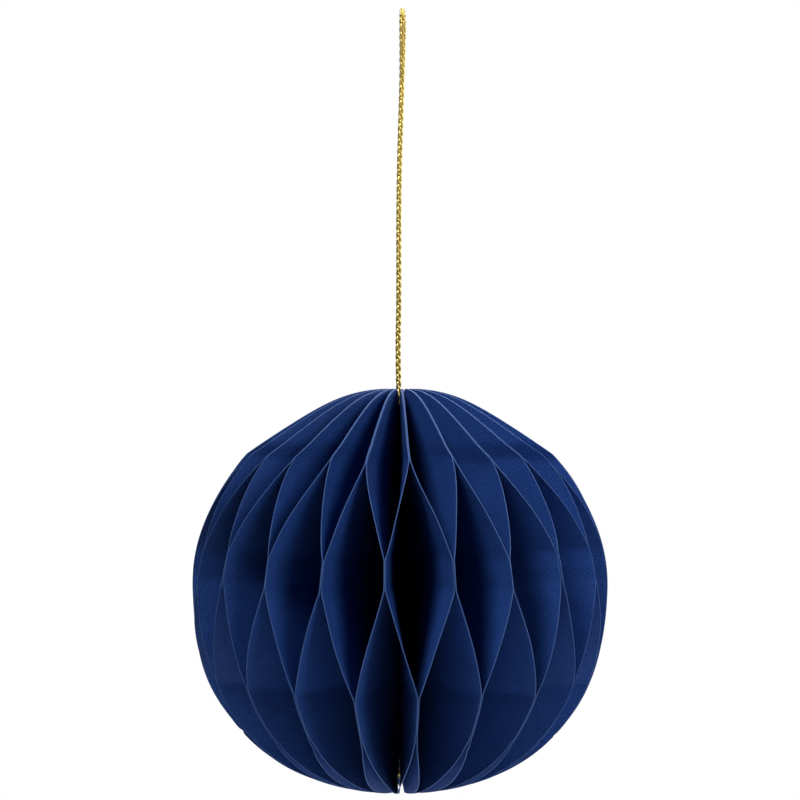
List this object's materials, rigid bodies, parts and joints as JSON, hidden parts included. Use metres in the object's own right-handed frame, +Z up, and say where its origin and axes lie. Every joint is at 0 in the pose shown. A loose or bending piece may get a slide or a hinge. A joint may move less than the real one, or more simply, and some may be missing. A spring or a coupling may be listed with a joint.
{
  "type": "paper honeycomb ball",
  "caption": "Hanging decoration: a navy paper honeycomb ball on a loop of gold braided cord, folding flat like a fan.",
  "frame": {"origin": "hanging point: the underside of the cord loop's crown, where it rests on a hook", "axes": "+Z up along the cord; -Y is the front of the ball; the two cover boards meet at the back, at X = 0 and +Y"},
  "size_m": [0.1, 0.0997, 0.1888],
  "materials": {
    "navy_paper": "matt",
    "navy_card": "matt",
    "nickel_plate": "bright plate",
    "gold_braid": "metallic thread"
  },
  "bodies": {
    "cord": {"hanging_cord": "gold_braid", "cord_knot": "gold_braid"},
    "glue_line_00": {"cover_board_left": "navy_card", "magnets_left": "nickel_plate"},
    "glue_line_01": {"leaf_01": "navy_paper"},
    "glue_line_02": {"leaf_02": "navy_paper"},
    "glue_line_03": {"leaf_03": "navy_paper"},
    "glue_line_04": {"leaf_04": "navy_paper"},
    "glue_line_05": {"leaf_05": "navy_paper"},
    "glue_line_06": {"leaf_06": "navy_paper"},
    "glue_line_07": {"leaf_07": "navy_paper"},
    "glue_line_08": {"leaf_08": "navy_paper"},
    "glue_line_09": {"leaf_09": "navy_paper"},
    "glue_line_10": {"leaf_10": "navy_paper"},
    "glue_line_11": {"leaf_11": "navy_paper"},
    "glue_line_12": {"leaf_12": "navy_paper"},
    "glue_line_13": {"leaf_13": "navy_paper"},
    "glue_line_14": {"leaf_14": "navy_paper"},
    "glue_line_15": {"leaf_15": "navy_paper"},
    "glue_line_16": {"leaf_16": "navy_paper"},
    "glue_line_17": {"leaf_17": "navy_paper"},
    "glue_line_18": {"leaf_18": "navy_paper"},
    "glue_line_19": {"leaf_19": "navy_paper"},
    "glue_line_20": {"leaf_20": "navy_paper"},
    "glue_line_21": {"leaf_21": "navy_paper", "leaf_22": "navy_paper"},
    "glue_line_22": {"leaf_23": "navy_paper"},
    "glue_line_23": {"leaf_24": "navy_paper"},
    "glue_line_24": {"leaf_25": "navy_paper"},
    "glue_line_25": {"leaf_26": "navy_paper"},
    "glue_line_26": {"leaf_27": "navy_paper"},
    "glue_line_27": {"leaf_28": "navy_paper"},
    "glue_line_28": {"leaf_29": "navy_paper"},
    "glue_line_29": {"leaf_30": "navy_paper"},
    "glue_line_30": {"leaf_31": "navy_paper"},
    "glue_line_31": {"leaf_32": "navy_paper"},
    "glue_line_32": {"leaf_33": "navy_paper"},
    "glue_line_33": {"leaf_34": "navy_paper"},
    "glue_line_34": {"leaf_35": "navy_paper"},
    "glue_line_35": {"leaf_36": "navy_paper"},
    "glue_line_36": {"leaf_37": "navy_paper"},
    "glue_line_37": {"leaf_38": "navy_paper"},
    "glue_line_38": {"leaf_39": "navy_paper"},
    "glue_line_39": {"leaf_40": "navy_paper"},
    "glue_line_40": {"leaf_41": "navy_paper"},
    "glue_line_41": {"leaf_42": "navy_paper"},
    "glue_line_42": {"cover_board_right": "navy_card", "magnets_right": "nickel_plate"}
  },
  "joints": [
    {"name": "ball_spin", "type": "hinge", "parent": "cord", "child": "glue_line_21", "pos_m": [0, 0, -0.13925], "axis": [0, 0, 1], "continuous": true},
    {"name": "fan_fold", "type": "hinge", "parent": "glue_line_21", "child": "glue_line_22", "pos_m": [0.00016, -0.00219, -0.13925], "axis": [0, 0, 1], "range_deg": [-8.57, 0], "deforming": ["leaf_22"]},
    {"name": "fan_right_23", "type": "hinge", "parent": "glue_line_22", "child": "glue_line_23", "pos_m": [0.00049, -0.00215, -0.13925], "axis": [0, 0, 1], "range_deg": [-8.57, 0], "deforming": ["leaf_23"]},
    {"name": "fan_right_24", "type": "hinge", "parent": "glue_line_23", "child": "glue_line_24", "pos_m": [0.0008, -0.00205, -0.13925], "axis": [0, 0, 1], "range_deg": [-8.57, 0], "deforming": ["leaf_24"]},
    {"name": "fan_right_25", "type": "hinge", "parent": "glue_line_24", "child": "glue_line_25", "pos_m": [0.0011, -0.00191, -0.13925], "axis": [0, 0, 1], "range_deg": [-8.57, 0], "deforming": ["leaf_25"]},
    {"name": "fan_right_26", "type": "hinge", "parent": "glue_line_25", "child": "glue_line_26", "pos_m": [0.00137, -0.00172, -0.13925], "axis": [0, 0, 1], "range_deg": [-8.57, 0], "deforming": ["leaf_26"]},
    {"name": "fan_right_27", "type": "hinge", "parent": "glue_line_26", "child": "glue_line_27", "pos_m": [0.00161, -0.0015, -0.13925], "axis": [0, 0, 1], "range_deg": [-8.57, 0], "deforming": ["leaf_27"]},
    {"name": "fan_right_28", "type": "hinge", "parent": "glue_line_27", "child": "glue_line_28", "pos_m": [0.00182, -0.00124, -0.13925], "axis": [0, 0, 1], "range_deg": [-8.57, 0], "deforming": ["leaf_28"]},
    {"name": "fan_right_29", "type": "hinge", "parent": "glue_line_28", "child": "glue_line_29", "pos_m": [0.00198, -0.00096, -0.13925], "axis": [0, 0, 1], "range_deg": [-8.57, 0], "deforming": ["leaf_29"]},
    {"name": "fan_right_30", "type": "hinge", "parent": "glue_line_29", "child": "glue_line_30", "pos_m": [0.0021, -0.00065, -0.13925], "axis": [0, 0, 1], "range_deg": [-8.57, 0], "deforming": ["leaf_30"]},
    {"name": "fan_right_31", "type": "hinge", "parent": "glue_line_30", "child": "glue_line_31", "pos_m": [0.00217, -0.00033, -0.13925], "axis": [0, 0, 1], "range_deg": [-8.57, 0], "deforming": ["leaf_31"]},
    {"name": "fan_right_32", "type": "hinge", "parent": "glue_line_31", "child": "glue_line_32", "pos_m": [0.0022, 0, -0.13925], "axis": [0, 0, 1], "range_deg": [-8.57, 0], "deforming": ["leaf_32"]},
    {"name": "fan_right_33", "type": "hinge", "parent": "glue_line_32", "child": "glue_line_33", "pos_m": [0.00217, 0.00033, -0.13925], "axis": [0, 0, 1], "range_deg": [-8.57, 0], "deforming": ["leaf_33"]},
    {"name": "fan_right_34", "type": "hinge", "parent": "glue_line_33", "child": "glue_line_34", "pos_m": [0.0021, 0.00065, -0.13925], "axis": [0, 0, 1], "range_deg": [-8.57, 0], "deforming": ["leaf_34"]},
    {"name": "fan_right_35", "type": "hinge", "parent": "glue_line_34", "child": "glue_line_35", "pos_m": [0.00198, 0.00096, -0.13925], "axis": [0, 0, 1], "range_deg": [-8.57, 0], "deforming": ["leaf_35"]},
    {"name": "fan_right_36", "type": "hinge", "parent": "glue_line_35", "child": "glue_line_36", "pos_m": [0.00182, 0.00124, -0.13925], "axis": [0, 0, 1], "range_deg": [-8.57, 0], "deforming": ["leaf_36"]},
    {"name": "fan_right_37", "type": "hinge", "parent": "glue_line_36", "child": "glue_line_37", "pos_m": [0.00161, 0.0015, -0.13925], "axis": [0, 0, 1], "range_deg": [-8.57, 0], "deforming": ["leaf_37"]},
    {"name": "fan_right_38", "type": "hinge", "parent": "glue_line_37", "child": "glue_line_38", "pos_m": [0.00137, 0.00172, -0.13925], "axis": [0, 0, 1], "range_deg": [-8.57, 0], "deforming": ["leaf_38"]},
    {"name": "fan_right_39", "type": "hinge", "parent": "glue_line_38", "child": "glue_line_39", "pos_m": [0.0011, 0.00191, -0.13925], "axis": [0, 0, 1], "range_deg": [-8.57, 0], "deforming": ["leaf_39"]},
    {"name": "fan_right_40", "type": "hinge", "parent": "glue_line_39", "child": "glue_line_40", "pos_m": [0.0008, 0.00205, -0.13925], "axis": [0, 0, 1], "range_deg": [-8.57, 0], "deforming": ["leaf_40"]},
    {"name": "fan_right_41", "type": "hinge", "parent": "glue_line_40", "child": "glue_line_41", "pos_m": [0.00049, 0.00215, -0.13925], "axis": [0, 0, 1], "range_deg": [-8.57, 0], "deforming": ["leaf_41"]},
    {"name": "fan_right_42", "type": "hinge", "parent": "glue_line_41", "child": "glue_line_42", "pos_m": [0.00059, 0.00783, -0.13925], "axis": [0, 0, 1], "range_deg": [-8.57, 0], "deforming": ["leaf_42"]},
    {"name": "fan_left_20", "type": "hinge", "parent": "glue_line_21", "child": "glue_line_20", "pos_m": [-0.00016, -0.00219, -0.13925], "axis": [0, 0, 1], "range_deg": [0, 8.57], "deforming": ["leaf_21"]},
    {"name": "fan_left_19", "type": "hinge", "parent": "glue_line_20", "child": "glue_line_19", "pos_m": [-0.00049, -0.00215, -0.13925], "axis": [0, 0, 1], "range_deg": [0, 8.57], "deforming": ["leaf_20"]},
    {"name": "fan_left_18", "type": "hinge", "parent": "glue_line_19", "child": "glue_line_18", "pos_m": [-0.0008, -0.00205, -0.13925], "axis": [0, 0, 1], "range_deg": [0, 8.57], "deforming": ["leaf_19"]},
    {"name": "fan_left_17", "type": "hinge", "parent": "glue_line_18", "child": "glue_line_17", "pos_m": [-0.0011, -0.00191, -0.13925], "axis": [0, 0, 1], "range_deg": [0, 8.57], "deforming": ["leaf_18"]},
    {"name": "fan_left_16", "type": "hinge", "parent": "glue_line_17", "child": "glue_line_16", "pos_m": [-0.00137, -0.00172, -0.13925], "axis": [0, 0, 1], "range_deg": [0, 8.57], "deforming": ["leaf_17"]},
    {"name": "fan_left_15", "type": "hinge", "parent": "glue_line_16", "child": "glue_line_15", "pos_m": [-0.00161, -0.0015, -0.13925], "axis": [0, 0, 1], "range_deg": [0, 8.57], "deforming": ["leaf_16"]},
    {"name": "fan_left_14", "type": "hinge", "parent": "glue_line_15", "child": "glue_line_14", "pos_m": [-0.00182, -0.00124, -0.13925], "axis": [0, 0, 1], "range_deg": [0, 8.57], "deforming": ["leaf_15"]},
    {"name": "fan_left_13", "type": "hinge", "parent": "glue_line_14", "child": "glue_line_13", "pos_m": [-0.00198, -0.00096, -0.13925], "axis": [0, 0, 1], "range_deg": [0, 8.57], "deforming": ["leaf_14"]},
    {"name": "fan_left_12", "type": "hinge", "parent": "glue_line_13", "child": "glue_line_12", "pos_m": [-0.0021, -0.00065, -0.13925], "axis": [0, 0, 1], "range_deg": [0, 8.57], "deforming": ["leaf_13"]},
    {"name": "fan_left_11", "type": "hinge", "parent": "glue_line_12", "child": "glue_line_11", "pos_m": [-0.00217, -0.00033, -0.13925], "axis": [0, 0, 1], "range_deg": [0, 8.57], "deforming": ["leaf_12"]},
    {"name": "fan_left_10", "type": "hinge", "parent": "glue_line_11", "child": "glue_line_10", "pos_m": [-0.0022, 0, -0.13925], "axis": [0, 0, 1], "range_deg": [0, 8.57], "deforming": ["leaf_11"]},
    {"name": "fan_left_09", "type": "hinge", "parent": "glue_line_10", "child": "glue_line_09", "pos_m": [-0.00217, 0.00033, -0.13925], "axis": [0, 0, 1], "range_deg": [0, 8.57], "deforming": ["leaf_10"]},
    {"name": "fan_left_08", "type": "hinge", "parent": "glue_line_09", "child": "glue_line_08", "pos_m": [-0.0021, 0.00065, -0.13925], "axis": [0, 0, 1], "range_deg": [0, 8.57], "deforming": ["leaf_09"]},
    {"name": "fan_left_07", "type": "hinge", "parent": "glue_line_08", "child": "glue_line_07", "pos_m": [-0.00198, 0.00096, -0.13925], "axis": [0, 0, 1], "range_deg": [0, 8.57], "deforming": ["leaf_08"]},
    {"name": "fan_left_06", "type": "hinge", "parent": "glue_line_07", "child": "glue_line_06", "pos_m": [-0.00182, 0.00124, -0.13925], "axis": [0, 0, 1], "range_deg": [0, 8.57], "deforming": ["leaf_07"]},
    {"name": "fan_left_05", "type": "hinge", "parent": "glue_line_06", "child": "glue_line_05", "pos_m": [-0.00161, 0.0015, -0.13925], "axis": [0, 0, 1], "range_deg": [0, 8.57], "deforming": ["leaf_06"]},
    {"name": "fan_left_04", "type": "hinge", "parent": "glue_line_05", "child": "glue_line_04", "pos_m": [-0.00137, 0.00172, -0.13925], "axis": [0, 0, 1], "range_deg": [0, 8.57], "deforming": ["leaf_05"]},
    {"name": "fan_left_03", "type": "hinge", "parent": "glue_line_04", "child": "glue_line_03", "pos_m": [-0.0011, 0.00191, -0.13925], "axis": [0, 0, 1], "range_deg": [0, 8.57], "deforming": ["leaf_04"]},
    {"name": "fan_left_02", "type": "hinge", "parent": "glue_line_03", "child": "glue_line_02", "pos_m": [-0.0008, 0.00205, -0.13925], "axis": [0, 0, 1], "range_deg": [0, 8.57], "deforming": ["leaf_03"]},
    {"name": "fan_left_01", "type": "hinge", "parent": "glue_line_02", "child": "glue_line_01", "pos_m": [-0.00049, 0.00215, -0.13925], "axis": [0, 0, 1], "range_deg": [0, 8.57], "deforming": ["leaf_02"]},
    {"name": "fan_left_00", "type": "hinge", "parent": "glue_line_01", "child": "glue_line_00", "pos_m": [-0.00059, 0.00783, -0.13925], "axis": [0, 0, 1], "range_deg": [0, 8.57], "deforming": ["leaf_01"]}
  ],
  "couplings": [
    {"joint": "fan_right_23", "follows": "fan_fold", "ratio": 1},
    {"joint": "fan_right_24", "follows": "fan_fold", "ratio": 1},
    {"joint": "fan_right_25", "follows": "fan_fold", "ratio": 1},
    {"joint": "fan_right_26", "follows": "fan_fold", "ratio": 1},
    {"joint": "fan_right_27", "follows": "fan_fold", "ratio": 1},
    {"joint": "fan_right_28", "follows": "fan_fold", "ratio": 1},
    {"joint": "fan_right_29", "follows": "fan_fold", "ratio": 1},
    {"joint": "fan_right_30", "follows": "fan_fold", "ratio": 1},
    {"joint": "fan_right_31", "follows": "fan_fold", "ratio": 1},
    {"joint": "fan_right_32", "follows": "fan_fold", "ratio": 1},
    {"joint": "fan_right_33", "follows": "fan_fold", "ratio": 1},
    {"joint": "fan_right_34", "follows": "fan_fold", "ratio": 1},
    {"joint": "fan_right_35", "follows": "fan_fold", "ratio": 1},
    {"joint": "fan_right_36", "follows": "fan_fold", "ratio": 1},
    {"joint": "fan_right_37", "follows": "fan_fold", "ratio": 1},
    {"joint": "fan_right_38", "follows": "fan_fold", "ratio": 1},
    {"joint": "fan_right_39", "follows": "fan_fold", "ratio": 1},
    {"joint": "fan_right_40", "follows": "fan_fold", "ratio": 1},
    {"joint": "fan_right_41", "follows": "fan_fold", "ratio": 1},
    {"joint": "fan_right_42", "follows": "fan_fold", "ratio": 1},
    {"joint": "fan_left_20", "follows": "fan_fold", "ratio": -1},
    {"joint": "fan_left_19", "follows": "fan_fold", "ratio": -1},
    {"joint": "fan_left_18", "follows": "fan_fold", "ratio": -1},
    {"joint": "fan_left_17", "follows": "fan_fold", "ratio": -1},
    {"joint": "fan_left_16", "follows": "fan_fold", "ratio": -1},
    {"joint": "fan_left_15", "follows": "fan_fold", "ratio": -1},
    {"joint": "fan_left_14", "follows": "fan_fold", "ratio": -1},
    {"joint": "fan_left_13", "follows": "fan_fold", "ratio": -1},
    {"joint": "fan_left_12", "follows": "fan_fold", "ratio": -1},
    {"joint": "fan_left_11", "follows": "fan_fold", "ratio": -1},
    {"joint": "fan_left_10", "follows": "fan_fold", "ratio": -1},
    {"joint": "fan_left_09", "follows": "fan_fold", "ratio": -1},
    {"joint": "fan_left_08", "follows": "fan_fold", "ratio": -1},
    {"joint": "fan_left_07", "follows": "fan_fold", "ratio": -1},
    {"joint": "fan_left_06", "follows": "fan_fold", "ratio": -1},
    {"joint": "fan_left_05", "follows": "fan_fold", "ratio": -1},
    {"joint": "fan_left_04", "follows": "fan_fold", "ratio": -1},
    {"joint": "fan_left_03", "follows": "fan_fold", "ratio": -1},
    {"joint": "fan_left_02", "follows": "fan_fold", "ratio": -1},
    {"joint": "fan_left_01", "follows": "fan_fold", "ratio": -1},
    {"joint": "fan_left_00", "follows": "fan_fold", "ratio": -1}
  ]
}
